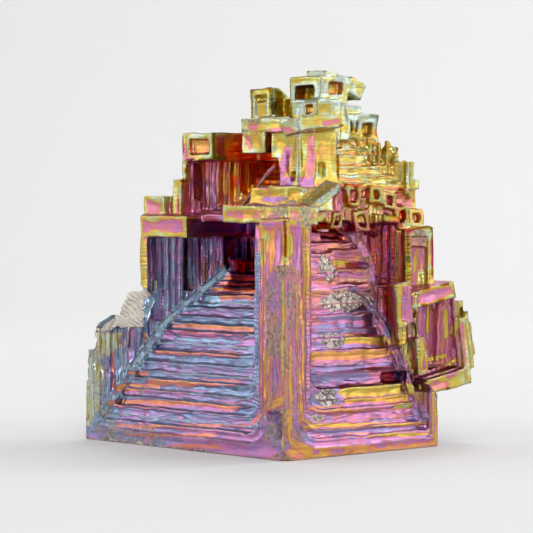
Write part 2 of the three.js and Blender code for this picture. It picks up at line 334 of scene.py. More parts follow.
# Where growth zones meet, the later one holds
ZONES = [
    ("whole, low", (-1, -1, -1), (50, 50, 20), "any", 0.62, 0.72, 0.5, 0.1),
    ("whole, middle", (-1, -1, 20), (50, 50, 40), "any", 0.46, 0.58, 0.5, 0.12),
    ("whole, high", (-1, -1, 40), (50, 50, 50), "any", 0.22, 0.36, 0.6, 0.1),
    ("whole, top", (-1, -1, 50), (50, 50, 62), "any", 0.03, 0.1, 0.5, 0.06),
    ("back, low", (4, 4, -1), (50, 50, 20), "back", 0.5, 0.72, 0.7, 0.14),
    ("back, middle", (4, 4, 20), (50, 50, 38), "back", 0.22, 0.56, 0.9, 0.12),
    ("back, high", (4, 4, 38), (50, 50, 51), "back", 0.14, 0.36, 0.9, 0.12),
    ("left stairs", (0.6, 4.4, 2), (23, 46, 31), "left", 0.86, 0.8, 0.2, 0.09),
    ("left treads", (0.6, 4.4, 2), (23, 46, 31), "up", 0.9, 0.86, 0.3, 0.05),
    ("left posts", (0.6, 27, 4), (23, 46.5, 35.2), "right", 0.82, 0.72, 0.3, 0.1),
    ("left posts, faces", (0.6, 29, 20), (23, 46.5, 35.2), "left", 0.8, 0.74, 0.3, 0.06),
    ("left pit, deep", (12.6, 10, 24), (24, 31.5, 36), "any", 0.7, 0.62, 0.4, 0.08),
    ("left pit's top steps", (9.6, 10, 24.6), (24, 33, 29.4), "left", 0.66, 0.42, 0.25, 0.08),
    ("left frame's side", (6.6, 13, 32.8), (24, 30, 37.2), "any", 0.5, 0.66, 0.9, 0.06, 1),
    ("left foot rim", (-1, -1, -1), (0.6, 14, 3.6), "left", 0.6, 0.63, 0.4, 0.03),
    ("left foot rim, far", (-1, 14, -1), (0.6, 50, 2.4), "left", 0.66, 0.72, 0.4, 0.03),
    ("left foot rim, end", (-1, 27, -1), (0.6, 50, 2.4), "left", 0.76, 0.82, 0.4, 0.05, 2.5),
    ("left frame bar", (5, 28, 33), (7.4, 42, 37.4), "front", 0.17, 0.52, 1, 0.03),
    ("left frame post", (5, 38, 14), (7, 42, 33.4), "left", 0.24, 0.56, 0.9, 0.03),
    ("near edge", (-1, -1, 3), (5, 7.4, 35.4), "front", 0.36, 0.51, 0.5, 0.13),
    ("near edge, top", (-1, -1, 29.4), (7, 7.4, 35.4), "front", 0.22, 0.44, 0.9, 0.1, 0.6),
    ("first bar", (1.5, 1, 35), (16, 18, 41.6), "front", 0.15, 0.46, 1, 0.04),
    ("wing", (7, 1.5, 38.8), (15, 6.6, 46), "any", 0.03, 0.11, 0.6, 0.03),
    ("bar behind it", (4.6, 4.6, 38.6), (15.4, 14, 41.6), "front", 0.2, 0.28, 0.6, 0.02),
    ("middle pit", (8.6, 11, 37), (13, 35, 45.8), "any", 0.5, 0.53, 0.5, 0.05),
    ("middle pit, deep", (12.6, 11, 37), (24, 35, 50.6), "any", 0.32, 0.37, 0.5, 0.06),
    ("middle left block", (5, 26.4, 45.5), (12, 36, 50.6), "front", 0.1, 0.48, 0.9, 0.04),
    ("its hollow", (9.5, 28, 46.4), (11, 33, 49.6), "any", 0.24, 0.3, 0.4, 0.03),
    ("middle left steps", (5, 30, 36.5), (9.2, 42, 46), "front", 0.16, 0.52, 0.9, 0.04),
    ("second bar", (8, 5, 38), (19, 20, 53), "front", 0.1, 0.2, 1, 0.04),
    ("gold face", (12.5, 6, 41), (20.5, 13, 50.5), "right", 0.12, 0.22, 0.8, 0.04),
    ("gold stairs", (19, 6, 39), (40, 14, 51), "any", 0.16, 0.23, 0.5, 0.05),
    ("ledge", (15, 5, 34.4), (41, 12, 42), "any", 0.2, 0.4, 0.6, 0.12),
    ("right stairs, low", (5, 1, 1.5), (33, 12, 20), "right", 0.6, 0.66, 0.3, 0.08),
    ("right stairs, high", (5, 1, 20), (33, 12, 35), "right", 0.46, 0.5, 0.3, 0.08),
    ("right treads", (5, 1, 1.5), (33, 12, 36), "up", 0.56, 0.62, 0.3, 0.08),
    ("right flutes", (22, 1, 6), (33, 12, 36), "any", 0.5, 0.49, 0.35, 0.06),
    ("right stairs' ends", (22, 1, 6), (33, 12, 22), "right", 0.6, 0.66, 0.3, 0.08),
    ("right foot rim", (-1, -1, -1), (36, 0.8, 1.7), "right", 0.3, 0.34, 0.3, 0.03),
    ("right foot end", (31.5, -1, 1.7), (36, 3.4, 10), "right", 0.22, 0.56, 0.8, 0.03),
    ("right end post", (31, 4, 22), (39, 8, 35.4), "front", 0.12, 0.53, 0.8, 0.04),
    ("right end post's hollow", (33, 6, 22), (37, 8.2, 33.6), "any", 0.46, 0.54, 0.4, 0.03),
    ("side crystal's posts", (26, 1, 6), (31.4, 4.8, 28), "front", 0.17, 0.54, 0.8, 0.04),
    ("side crystal", (31.2, 1, 6), (46.5, 8, 28), "front", 0.17, 0.54, 0.8, 0.04),
    ("side crystal's pit", (31.6, 3.4, 9.4), (44.6, 12, 24.4), "any", 0.52, 0.54, 0.3, 0.04),
    ("side crystal's outer band", (42.2, 1, 7), (46.5, 8, 24), "front", 0.13, 0.17, 0.5, 0.02, 0.5),
    ("side crystal's lower corner", (37, 1, 6), (46.5, 8, 11.4), "front", 0.13, 0.18, 0.5, 0.02, 0.8),
    ("left end", (-1, 41, 2.4), (5, 50, 20), "any", 0.94, 0.84, 0.5, 0.1, 1),
    ("left end, outermost", (-1, 44.8, 2.2), (1.1, 50, 16.6), "any", 0, 0.03, 0.5, 0.02, 0.6),
    ("left end, orange flute", (2, 42.9, 7), (2.7, 45, 17), "right", 0.42, 0.42, 0.3, 0),
    ("left end, red flute", (3.4, 40.6, 7), (3.9, 42.2, 17.4), "right", 0.55, 0.55, 0.3, 0),
    ("left end, tops", (-1, 42.2, 14.6), (3.8, 50, 19.2), "front", 0.02, 0.07, 0.5, 0.04, 2),
    ("stump", (0.6, 38.6, 17.6), (9, 45, 25), "any", 0.94, 0.84, 0.5, 0.08),
    ("left corner ridge", (-1, 8, 1), (16, 46.4, 30), "slanted", 0.92, 0.86, 0.3, 0.05),
    ("right corner ridge", (20, 0, 3), (34, 12, 39), "slanted", 0.57, 0.63, 0.3, 0.04),
    ("slanted bar", (7.6, 10, 37), (9.2, 20, 46), "slanted", 0.5, 0.48, 0.3, 0),
    ("crown hollow", (19.4, 13.4, 52.2), (22, 18.4, 58), "any", 0.14, 0.18, 0.4, 0.03),
    ("crown hollow, right", (20.8, 12.4, 55.8), (24.6, 14, 58.6), "any", 0.24, 0.27, 0.4, 0.03),
    ("crown hollow, left", (19.2, 24.2, 52.6), (20.6, 27.8, 56.8), "any", 0.2, 0.24, 0.4, 0.03),
    ("crown's left block, right side", (18, 20, 50), (27, 26, 58), "right", 0.04, 0.07, 0.4, 0.02),
    ("small hollow", (15.9, 9.6, 52.6), (17, 12.6, 54.8), "any", 0.22, 0.27, 0.4, 0.03),
    ("shoulder hollows", (25, 12.6, 49), (32.4, 14.2, 52.6), "any", 0.2, 0.24, 0.4, 0.03),
]

# Strokes by the way they face: start, end and what else a stroke has. Later ones lie over earlier ones.
STROKES = [
    ("left", [
        ((19.2, 24), (30.6, 23.7), 0.6, 0.4, 0.1, 0.06), ((20, 23.1), (33, 22.6), 0.28, 0.95, 0.05),
        ((29.5, 22.2), (35.2, 21.6), 0.8, 0.92, 0.1), ((16, 18.6), (35.6, 18.4), 1, 0.47, 0.12, 0.14),
        ((16.8, 16.9), (34, 16.8), 0.28, 0.95, 0.05), ((16.2, 15), (37.8, 14.6), 0.45, 0.43, 0.1, 0.05),
        ((37.4, 11.2), (41.4, 11), 0.4, 0.42, 0.08), ((14.6, 10.7), (36.4, 9.8), 0.62, 0.42, 0.12, 0.05),
        ((33, 9), (43.2, 8.4), 0.85, 0.4, 0.12, 0.04), ((22, 9.2), (43.4, 7.7), 0.3, 0.65, 0.06),
        ((11.6, 7.3), (44.8, 6), 0.7, 0.44, 0.12, 0.12), ((17, 6.4), (31, 5.9), 0.6, 0.66, 0.08),
        ((8.6, 4.7), (42, 2.4), 0.3, 0.42, 0.06), ((15, 2.9), (38.4, 1.3), 0.28, 0.43, 0.05),
        ((11, 1.3), (27, 0.4), 0.42, 0.45, 0.05), ((-1, 3), (15, 1.6), 2.2, 0.64),
    ]),
    ("right", [
        ((16, 36), (18.4, 36), 0.6, 0.26, 0.05), ((18, 34.6), (23.6, 34.6), 0.55, 0.34, 0.08),
        ((19.4, 29.4), (23.6, 29.2), 0.5, 0.2, 0.08), ((15.2, 26.7), (25.4, 26.3), 0.6, 0.42, 0.06),
        ((20, 28.4), (26, 28.2), 0.6, 0.4), ((14, 21), (26, 20.9), 0.8, 0.74),
        ((18.6, 20.1), (26.2, 19.9), 0.42, 0.57, 0.08), ((13.4, 19.2), (24, 19), 0.8, 0.77),
        ((18.4, 16.9), (28, 16.5), 1.45, 0.27, 0.12, 0.12), ((13.6, 16.3), (26.4, 16.1), 0.38, 0.7, 0.05),
        ((7.6, 15), (28.6, 14.7), 0.8, 0.34, 0.12, 0.07), ((7.6, 14), (28.4, 13.7), 0.3, 0.61, 0.04),
        ((8.4, 12.2), (25.4, 12.2), 1.3, 0.75), ((22.2, 12.1), (28.4, 11.9), 1, 0.54, 0.06),
        ((14.4, 8.8), (32.4, 8.4), 1.75, 0.25, 0.14, 0.1), ((7, 8.6), (15.6, 8.4), 1, 0.78),
        ((7, 7.2), (23, 6.6), 0.55, 0.38, 0.1, 0.05), ((15, 7.2), (26, 7), 0.5, 0.6, 0.04),
        ((4.6, 4.9), (32.4, 3.6), 0.36, 0.28, 0.08), ((4.8, 3.9), (32, 2.8), 0.4, 0.74),
        ((14, 3), (31.6, 2), 0.3, 0.22, 0.06), ((2.4, 2.4), (32.6, 1.2), 0.5, 0.61),
        ((4.2, 1), (7.2, 0.9), 0.42, 0.66), ((9.6, 0.9), (12.6, 0.8), 0.36, 0.64),
        ((19.4, 1), (22, 0.9), 0.34, 0.62),
    ]),
    # the rounded rib and the columns beside it, left side
    ("left", [
        ((4.6, 35), (4.8, 25.5), 0.65, 0.35, 0.05), ((3, 35), (3.4, 29), 0.6, 0.62),
        ((1.6, 34), (1.4, 30.4), 0.7, 0.24), ((2.9, 29), (2.9, 22), 0.75, 0.66),
        ((0.5, 29.4), (0.6, 12), 0.44, 0.19, 0.06), ((1.9, 28), (1.7, 13), 0.4, 0.6, 0.04),
        ((3.6, 17.5), (4, 10.5), 0.4, 0.34, 0.05), ((2.3, 17), (2.6, 10), 0.4, 0.72),
        ((1.3, 13.5), (0.9, 9.6), 0.5, 0.58), ((0.3, 9.2), (3.4, 8), 0.75, 0.34, 0.05, 0.04),
        ((0.7, 1.4), (5.3, 6.6), 0.7, 0.74, -0.35), ((0.6, 1.5), (4.2, 7.2), 0.6, 0.66, -0.2),
        ((0.5, 1.5), (3.1, 7.6), 0.6, 0.76, -0.4), ((0.4, 1.6), (2, 7.8), 0.5, 0.69, -0.25),
        ((0.4, 1.6), (0.9, 7.9), 0.4, 0.12, -0.4), ((4.6, 16.5), (5, 9), 0.45, 0.38, 0.08),
        ((5, 9.6), (6.8, 6.4), 0.55, 0.37, 0.1), ((6.5, 6.8), (9.4, 5), 0.42, 0.4, 0.1),
    ]),
    # and their right side
    ("right", [
        ((2.3, 34.2), (2.5, 30.6), 0.95, 0.2, 0.06), ((4.3, 36), (4.4, 27), 0.6, 0.64),
        ((6.4, 31.6), (6.2, 24.6), 1, 0.3, 0.06), ((6.3, 35.8), (6.3, 33), 0.7, 0.25, 0.04),
        ((2.6, 26), (2.7, 17), 0.35, 0.34, 0.05), ((5.2, 25.2), (5.2, 10), 0.85, 0.35, 0.08),
        ((4.1, 28), (4.1, 9), 0.24, 0.74), ((6.5, 24), (6.5, 9.6), 0.26, 0.72),
    ]),
    ("left", [
        ((27.2, 23.3), (31.4, 22.9), 0.95, 0.98, 0.14), ((15.6, 23.8), (18.4, 22.4), 0.9, 0.98, 0.1),
    ]),
    ("right", [
        ((1.3, 18.4), (1.3, 4), 0.42, 0.28, 0.06), ((2.1, 17.4), (2.2, 5), 0.38, 0.62, 0.04),
        ((0.4, 8), (1.3, 2.6), 0.5, 0.3, 0.06), ((1.2, 3), (5.8, 0.6), 0.85, 0.3, 0.08),
        ((1.9, 8), (2.8, 4.2), 0.45, 0.72), ((2.8, 4.4), (7, 2.2), 0.55, 0.74),
        ((3.4, 9.8), (4.2, 6.2), 0.3, 0.36, 0.06), ((4.2, 6.2), (7.4, 5), 0.36, 0.33, 0.08),
    ]),
    # the second bar's column, and the bars
    ("left", [
        ((11.2, 42), (9.2, 47.6), 0.9, 0.58), ((11.8, 42), (8, 42), 0.9, 0.64),
    ]),
    ("right", [
        ((12.2, 49.4), (11.9, 42.6), 0.75, 0.5), ((8.8, 42), (12.8, 42), 0.9, 0.62),
    ]),
    ("left", [
        ((7.2, 49.3), (9.6, 41.6), 0.2, 0.46),
    ]),
    ("right", [
        ((12.4, 49.3), (10.2, 41.6), 0.2, 0.46),
    ]),
    ("left", [
        ((13, 50.2), (6.6, 50.2), 0.4, 0.5), ((18.4, 49.6), (17.2, 47.4), 0.6, 0.5),
        ((17.6, 51), (15.4, 50.8), 0.5, 0.48),
    ]),
    ("right", [
        ((13.6, 51.2), (17.6, 51.8), 0.42, 0.48), ((14.4, 42.6), (17, 44), 0.8, 0.1, -0.2),
        ((13.8, 48.6), (14.4, 44), 0.4, 0.08, -0.2),
    ]),
    ("left", [
        ((5.2, 39.5), (10.6, 39.4), 0.5, 0.7), ((12.4, 37.3), (9.4, 37.3), 0.5, 0.3),
        ((8, 37), (6, 37), 0.6, 0.24),
    ]),
    # the side crystal
    ("right", [
        ((27, 26.8), (27.7, 15.6), 0.75, 0.2, 0, 0, 5), ((29.4, 26), (30.2, 16.4), 0.8, 0.57, 0, 0, 5),
    ]),
    ("front", [
        ((37.5, 22.6), (37.7, 17.4), 0.42, 0.2, 0.05), ((40, 21.8), (40.3, 16.8), 0.48, 0.21, 0.05),
        ((41.5, 19.8), (41.6, 17), 0.3, 0.21, 0.05), ((36.8, 13), (40.6, 14), 0.42, 0.21, 0.05),
        ((40.2, 12.4), (42.8, 13.2), 0.36, 0.22, 0.05),
    ]),
    # the right end post
    ("front", [
        ((35.7, 31.4), (35.2, 27.6), 0.34, 0.2, 0.05), ((34.5, 27.8), (34.3, 25.2), 0.5, 0.4, 0.05, 0.06),
        ((37.9, 33.4), (38, 28.4), 0.3, 0.52),
    ]),
    ("right", [
        ((31.8, 20), (31.8, 12), 0.5, 0.2, 0, 0, 5), ((44.6, 21), (45.2, 9), 0.5, 0.15),
        ((36.4, 9), (39.4, 9.6), 0.6, 0.48), ((42.6, 19.4), (42.9, 12), 0.55, 0.52),
        ((42.9, 12.4), (38.6, 10.6), 0.5, 0.52),
    ]),
    # the ledge and the gold stairs
    ("right", [
        ((20.4, 38.6), (19.4, 34.6), 0.45, 0.54, 0.1), ((25.2, 41), (26.4, 36.8), 0.5, 0.5, 0.1),
        ((19, 43.2), (25, 43), 0.4, 0.02, 0.05), ((22.6, 42.3), (25.4, 42.1), 0.3, 0.42, 0.05),
        ((20.4, 49.6), (20.6, 46.8), 0.3, 0.96), ((20.4, 46.8), (23.6, 46.8), 0.25, 0.96),
    ]),
    # the crown
    ("left", [
        ((19, 58.6), (15.4, 58.9), 0.45, 0.2, 0.05, 0, 20), ((28, 56.6), (25, 56.4), 0.6, 0.16, 0, 0, 20),
        ((26, 53), (25.6, 55.4), 0.5, 0.24, 0, 0, 20),
    ]),
    ("right", [
        ((21, 55.4), (22, 59), 0.35, 0.18, 0.05, 0, 14), ((23.6, 55.2), (25.4, 55), 0.5, 0.16, 0.05, 0, 14),
        ((20, 53.4), (20.6, 52), 0.5, 0.18, 0.05, 0, 14),
    ]),
]

# Small cavities, sunk and painted dark with shade: which way they face, middle (along the side, height), half
# width, half height, depth
CAVITIES = [
    ("right", (21.3, 33.9), 2.5, 0.65, 0.7), ("right", (28, 34.4), 1, 0.8, 0.7),
    ("right", (42.8, 21), 0.7, 0.8, 0.6), ("right", (27.2, 11.1), 2.2, 0.8, 0.7),
    ("right", (32.4, 9.9), 1.5, 1.1, 0.7), ("right", (24.6, 28.7), 2, 0.5, 0.35),
    ("left", (8.3, 43), 0.5, 0.6, 0.4), ("left", (28.6, 47.6), 0.4, 0.9, 0.5),
    ("left", (2.4, 6.4), 1.7, 0.8, 0.26), ("left", (1.4, 4.4), 0.8, 1.4, 0.26),
    ("right", (10.2, 46.4), 0.14, 2.2, 0.3), ("right", (13.4, 44.6), 0.16, 2.6, 0.24),
    ("right", (14.3, 44.2), 0.14, 2.2, 0.24), ("right", (15.9, 44), 0.7, 1.1, 0.3),
    ("left", (9.6, 45), 0.14, 1.8, 0.3),
]

# Rough bare metal: which way it faces, low corner (along the side, height), high corner, and how bright it is
BARE_PATCHES = [
    ("right", (16.2, 26.6), (19.6, 30.6), 1), ("right", (16, 21.6), (26, 25), 1),
    ("right", (13.8, 16), (19, 18.6), 0.9), ("right", (9.4, 7.2), (14.4, 10.4), 0.8),
    ("right", (6.6, 4.9), (11.4, 6.4), 0.7), ("left", (-0.5, -0.5), (3.6, 1.4), 0.55),
    ("left", (16, -0.5), (52, 0.35), 0.8), ("left", (26, -0.6), (47, 3.8), 0.52),
    ("right", (-0.5, -0.5), (1.6, 0.9), 0.55), ("right", (4.2, 34.6), (7.8, 39.6), 0.6),
    ("left", (2.2, 36.6), (4.8, 38.4), 0.55), ("left", (14, 51), (18, 52.6), 0.6),
    ("front", (33, 31.4), (36.8, 34.6), 0.6), ("right", (32.6, 6.4), (34.4, 9), 0.7),
    ("left", (0.6, 14.6), (4.8, 22.8), 0.54), ("left", (0.4, 24), (1.6, 29.6), 0.55),
    ("left", (0.6, 1.8), (4.4, 7.4), 0.5), ("right", (0.3, 18), (2.6, 29.6), 0.53),
    ("right", (2.4, 25.6), (3.8, 29.6), 0.55), ("left", (36, 7.8), (40, 9.4), 0.5),
]

# Where the film is thin and rubbed: low corner, high corner, which way it faces, how much is bare
WORN_ZONES = [
    ((-1, -1, -1), (50, 50, 60), "front", 0.1), ((-1, -1, 2), (4.6, 4.6, 29.6), "front", 0.44),
    ((-1, 42, 2), (1.5, 50, 22), "any", 0.46), ((-1, 38, 8), (5, 43.4, 20), "any", 0.24),
    ((1.5, 1, 35), (9.5, 9.5, 40), "any", 0.42), ((8, 5, 49.5), (19, 14, 53), "any", 0.32),
    ((7, 1.5, 40.2), (15, 6.6, 46), "any", 0.44), ((7.4, 10, 37), (9.4, 20, 46), "slanted", 0.5),
    ((5, 28, 33), (7.4, 42, 37.4), "any", 0.24), ((-1, 14, -1), (0.6, 50, 2.4), "left", 0.26),
    ((15, 9, 50), (34, 29, 61), "any", 0.22),
]

# The grain of the growth lines: low corner, high corner, which way it faces, level or upright, spacing,
# depth, and how much the film swings between ridge and groove
GRAINS = [
    ((0.6, 4.4, 2), (23, 46, 31), "left", "level", 0.66, 0.1, 0.05),
    ((5, 1, 1.5), (33, 12, 35), "right", "level", 0.66, 0.09, 0.06),
    ((-1, -1, 2), (5, 7.4, 35), "front", "upright", 1.15, 0.13, 0.1),
    ((0.6, 24, 3), (23, 48.5, 33.2), "right", "upright", 0.9, 0.14, 0.14),
    ((-1, 40.5, 3), (5.6, 48.5, 22), "left", "upright", 1.1, 0.16, 0.16),
    ((22, 1, 6), (33, 12, 36), "left", "upright", 0.85, 0.14, 0.12),
    ((29, 3, 9), (46, 9, 25), "front", "upright", 1.2, 0.12, 0.05),
    ((9.5, 24, 37), (24, 35, 45.8), "front", "upright", 1.1, 0.14, 0.12),
    ((4, 4, 2), (50, 50, 51), "back", "level", 0.74, 0.1, 0.07),
    ((9.5, 11, 37), (24, 24, 45.8), "left", "level", 0.66, 0.08, 0.12),
    ((19, 6.5, 41), (34, 14, 50), "right", "level", 0.66, 0.08, 0.12),
]

# Where the surface wanders more: low corner, high corner, how much
LOOSE_ZONES = [
    ((15, 5, 34), (41, 13, 43), 0.3), ((15, 9, 50), (34, 29, 61), 0.1), ((1.4, 1, 35), (19, 20, 53), 0.08),
    ((24, 8, 40), (41, 14, 54), 0.16), ((22, 1, 8), (34, 12, 36), 0.14),
    ((8.6, 20, 22), (24, 40, 34), 0.12), ((31, 3.3, 8), (46, 12, 25), 0.12),
]

# Pits with painted light and shade: low corner, high corner, the share of the painted shade that is left, how
# much painted bounced light, how dark they are at least
LIT_PITS = [
    ((12.4, 11, 37), (25, 36, 50.8), 0.1, 1), ((9.6, 11, 37), (12.6, 36, 46), 0.4, 0.4),
    ((9.8, 28, 46.4), (12.4, 33, 49.6), 0.2, 0.8), ((12.6, 10, 24), (24, 31.5, 36), 0.4, 0.9),
    ((9.6, 10, 24.8), (24, 28, 29.8), 1, 0.3, 1.7), ((5, 30.6, 17), (12.4, 42, 33.2), 0.3, 0.5),
    ((6.6, 13, 32.8), (24, 30, 37.2), 0.05, 0.6), ((19, 6, 38), (40, 14, 51), 1, 0.6),
    ((15.4, 9.2, 52.2), (18, 13, 55.2), 0.3, 0.3), ((15, 5.6, 34.2), (41, 13, 42.6), 0.8, 0.5),
    ((22.6, 4, 8), (33, 12, 36), 1, 0.8), ((27.4, 5, 23.4), (33, 12, 36), 1, 1, 0.5),
    ((9, 4, 26), (24, 12, 35), 1.1, 0.5), ((31, 3.3, 8), (46, 12, 25), 0, 0),
    ((31.6, 6, 23), (38.3, 12, 35), 0, 0), ((0.6, 4, 2), (12, 46, 24), 0.8, 0),
    ((18.9, 13.4, 53.6), (24.4, 18.4, 58.4), 0.3, 0.7), ((19, 19, 50), (27, 26.2, 58), 0.7, 0.7),
]

# Ridges where a pit's level ledges meet its upright flutes: points along each, half its thickness, its film
CORNER_RIDGES = [
    ([(0.3, 46, 2.4), (1.7, 43.8, 5.7), (3.5, 41.5, 9.8), (5.3, 39.6, 13.8), (7.5, 37.5, 18.4)], 0.55, 0.98),
    ([(7.5, 37.5, 18.4), (9.7, 35.1, 21.8), (12.1, 32.5, 24.8), (14.7, 29.7, 27.8)], 0.46, 0.96),
    ([(31.6, 1.4, 4.6), (30.9, 3, 8.4), (29.4, 4.4, 13.2), (28, 6, 17.6), (26.8, 8, 22.2)], 0.62, 0.64),
    ([(26.8, 8, 22.2), (24.6, 8.3, 24.6), (22.6, 8.3, 25.2)], 0.4, 0.66),
    (
        [(27.6, 8.7, 26.2), (27.2, 9, 28.4), (26.2, 9.9, 31.8), (24, 11.2, 35.2), (23.4, 10.6, 37.6)],
        0.55, 0.58,
    ),
    ([(8.2, 18.2, 39), (8.6, 11.7, 44.4)], 0.28, 0.5), ([(31.8, 4.2, 22.4), (32.6, 5, 15)], 0.42, 0.6),
]

# Rounded knobs and columns grown up the gold stairs: foot (x, y, z), height, radius
KNOBS = [
    ((27, 12.6, 49.4), 2.6, 0.62), ((27.6, 12, 46.2), 3.6, 0.5), ((30, 12, 45.6), 3.8, 0.66),
    ((31.6, 11.4, 44.4), 4.2, 0.5), ((33, 10.8, 44.2), 4.4, 0.6), ((28.8, 10.6, 43), 3.6, 0.46),
    ((30.4, 10.2, 42.6), 4.2, 0.5), ((32, 9.9, 42.2), 4.8, 0.46), ((33.8, 9.6, 41.4), 5.2, 0.6),
    ((35.2, 9, 40.6), 4.6, 0.66), ((36.4, 8.8, 39.8), 3.6, 0.6), ((30.8, 12.4, 48.2), 1.6, 0.66),
    ((26.4, 9.6, 38.4), 2.6, 0.46), ((28.6, 9.2, 38), 2.8, 0.42), ((24.2, 9.4, 37.6), 2.4, 0.42),
    ((20.8, 9.4, 35.4), 3.4, 0.46), ((32.2, 8.2, 36.6), 3, 0.46),
]

# Rows of thin columns in the pits: first (x, y), last (x, y), bottom, top, how many, radius
FLUTES = [
    ((7.9, 40.5), (8, 38.3), 18, 33.4, 4, 0.32), ((11.4, 35.3), (11.5, 32.9), 22.4, 33.4, 4, 0.36),
    ((13.5, 31.3), (18.8, 29.4), 26, 33.4, 9, 0.32), ((18.7, 28.8), (18.9, 15), 28, 33.4, 16, 0.36),
    ((14.6, 28.8), (17.8, 25.4), 27, 29.8, 8, 0.24), ((33, 6.3), (38.8, 6.2), 10.8, 23, 7, 0.42),
    ((39.2, 5), (42.6, 4.4), 10.8, 22.4, 5, 0.42),
]

# Hollows that are partly filled: low corner, high corner
FILLED = [
    ((19.22, 24.8, 52.4), (20.4, 27.6, 55.4)), ((31.8, 6.4, 10.6), (39.2, 12, 23.4)),
    ((38.8, 5.1, 10.6), (42.6, 12, 22.8)), ((33.2, 6.7, 23.6), (36.7, 9, 31.8)),
    ((19.4, 8.95, 26.6), (26.4, 11.4, 28.3)), ((19.4, 9.62, 28.2), (26.4, 11.4, 31.4)),
]


def rail(bm, points, half, chance):
    """Adds a broken line of short blocks along a line of points."""
    usual_length = 2.2
    for start, end in zip(points, points[1:]):
        start, end = Vector(start), Vector(end)
        way = end - start
        turn = way.to_track_quat("Z", "Y")
        count = max(1, round(way.length / usual_length))
        for i in range(count):
            thick = 2 * half * chance.uniform(0.7, 1.25)
            aside = Vector(chance.uniform(-0.3, 0.3, 3)) * half
            size = Vector((thick, 2 * half, way.length / count * chance.uniform(0.9, 1.35)))
            middle = start + way * ((i + 0.5) / count) + aside
            bmesh.ops.create_cube(bm, size=1, matrix=Matrix.LocRotScale(middle, turn, size))


def knob(bm, foot, height, radius):
    """Adds a column with a round top. It has sides enough for none of its edges to count as a lip."""
    sides = 14
    foot = Vector(foot)
    middle = Matrix.Translation(foot + Vector((0, 0, height / 2)))
    top = Matrix.Translation(foot + Vector((0, 0, height)))
    bmesh.ops.create_cone(
        bm, cap_ends=True, segments=sides, radius1=radius * 0.8, radius2=radius, depth=height, matrix=middle
    )
    bmesh.ops.create_uvsphere(bm, u_segments=sides, v_segments=8, radius=radius * 1.15, matrix=top)


def flutes(bm, start, end, bottom, top, count, radius, chance):
    """Adds a row of thin upright columns, each a little off its place."""
    for i in range(count):
        x, y = Vector(start).lerp(Vector(end), i / max(count - 1, 1))
        aside, ahead = chance.uniform(-0.12, 0.12, 2)
        lift = chance.uniform(-0.4, 0.4)
        size = radius * chance.uniform(0.7, 1.3)
        knob(bm, (x + aside, y + ahead, bottom), top - bottom + lift, size)


def grown_source():
    """The CAD crystal with the corner ridges and small columns that are too fine for it."""
    bm = crystal_copy()
    chance = np.random.default_rng(29)
    for low, high in FILLED:
        block(bm, low, high)
    for row in FLUTES:
        flutes(bm, *row, chance)
    for points, half, _ in CORNER_RIDGES:
        rail(bm, points, half, chance)
    for foot, height, radius in KNOBS:
        knob(bm, foot, height, radius)
    bmesh.ops.recalc_face_normals(bm, faces=bm.faces)
    return bm


def strokes_behind():
    """Lenses and stripes of other film on the two sides that the photograph doesn't show."""
    chance = np.random.default_rng(61)
    for way in ("back left", "back right"):
        for _ in range(30):
            height = chance.uniform(1.5, 48)
            start = chance.uniform(5, 34)
            end = start + chance.uniform(4, 15), height + chance.uniform(-0.4, 0.4)
            usual = np.interp(height, [0, 20, 40, 50], [0.62, 0.52, 0.34, 0.2])
            film = max(usual + chance.choice([-0.26, -0.16, 0.2, 0.3]), 0.04)
            half = chance.uniform(0.3, 0.8)
            yield Stroke(way, (start, height), end, half, film, 0.1, 0.05, FAR)


def stroke_shares(s):
    """For each stroke: the points near it, how far each lies in it (0 to 1), its film, how it stands out."""
    all_sway = 0.35 * cloudy(s.place, 2.2, octaves=2, seed=6.2)
    seen = [Stroke(way, *row) for way, rows in STROKES for row in rows]
    for stroke in [*seen, *strokes_behind()]:
        along, height, depth = s.flat(stroke.way)
        near = s.looks[stroke.way] & (depth < stroke.deepest)
        reach = 1.6 * stroke.half + 0.3
        for values, first, last in zip((along, height), stroke.start, stroke.end):
            near &= (values > min(first, last) - reach) & (values < max(first, last) + reach)
        near = np.flatnonzero(near)
        sway = all_sway[near]
        right, up = along[near] - stroke.start[0], height[near] - stroke.start[1]
        run = stroke.end[0] - stroke.start[0], stroke.end[1] - stroke.start[1]
        length = math.hypot(*run)
        share = (right * run[0] + up * run[1]) / length**2 + 0.12 * sway
        above = (up * run[0] - right * run[1]) / length * (1 if run[0] > 0 else -1)
        taper = np.sqrt(np.clip(1 - np.abs(2 * share - 1) ** 6, 0, 1))
        room = np.maximum(stroke.half * taper * (1 + 0.7 * sway), 0.02)
        above = (above + 0.5 * sway) / room
        inside = (1 - smooth_step(0.75, 1.15, np.abs(above))) * (taper > 0.02)
        yield near, inside, stroke.film - stroke.thicker * np.clip(above, -1, 1), stroke.proud


def cavities(s):
    """How deep the small cavities go at each point."""
    sunk = np.zeros(len(s.place))
    sway = 0.25 * cloudy(s.place, 1.3, octaves=2, seed=2.9)
    for way, middle, wide, tall, deep in CAVITIES:
        along, height, depth = s.flat(way)
        gap = np.maximum(np.abs(along - middle[0]) - wide, np.abs(height - middle[1]) - tall)
        inside = (1 - smooth_step(-0.2, 0.15, gap + sway)) * s.looks[way]
        sunk = np.maximum(sunk, deep * inside * (depth < STROKE_DEPTH))
    return sunk


